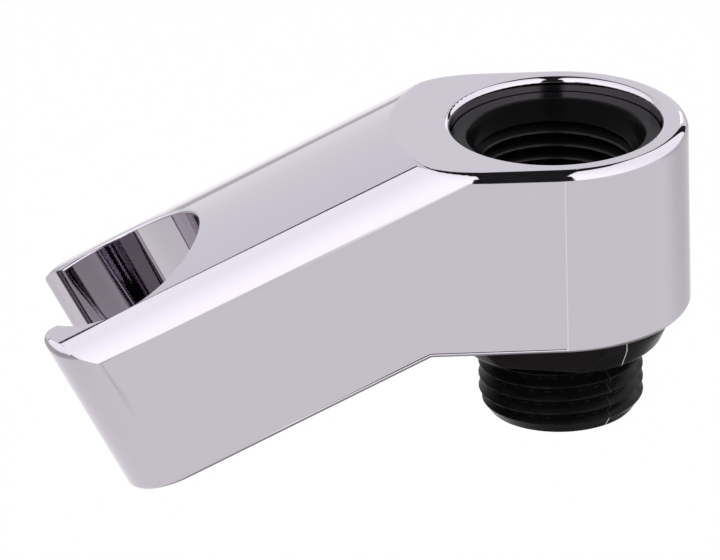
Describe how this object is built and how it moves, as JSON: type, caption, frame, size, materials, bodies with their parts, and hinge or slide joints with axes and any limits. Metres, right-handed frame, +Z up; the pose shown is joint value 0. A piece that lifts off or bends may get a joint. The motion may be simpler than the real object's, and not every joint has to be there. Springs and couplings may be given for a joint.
{
  "type": "hand shower holder",
  "caption": "Chrome swivel holder for a hand shower: a threaded connector with a drooping arm that ends in an open cradle.",
  "frame": {"origin": "centre of the inlet thread's mouth, on the swivel axis", "axes": "+Z up out of the inlet thread, +X away from the arm (the arm points to -X), +Y to the side"},
  "size_m": [0.0819, 0.0334, 0.044],
  "materials": {
    "chrome": "mirror chrome plate on moulded plastic",
    "black_plastic": "moulded black plastic, slightly glossy",
    "rubber": "matt black rubber",
    "white_plastic": "natural low-friction plastic"
  },
  "bodies": {
    "connector": {"inlet_socket": "black_plastic", "outlet_nipple": "black_plastic", "inlet_washer": "rubber", "joint_seal": "rubber", "friction_ring": "rubber", "slip_washer": "white_plastic"},
    "holder": {"holder_body": "chrome"}
  },
  "joints": [
    {"name": "swivel", "type": "hinge", "parent": "connector", "child": "holder", "pos_m": [0, 0, 0], "axis": [0, 0, 1], "continuous": true}
  ]
}
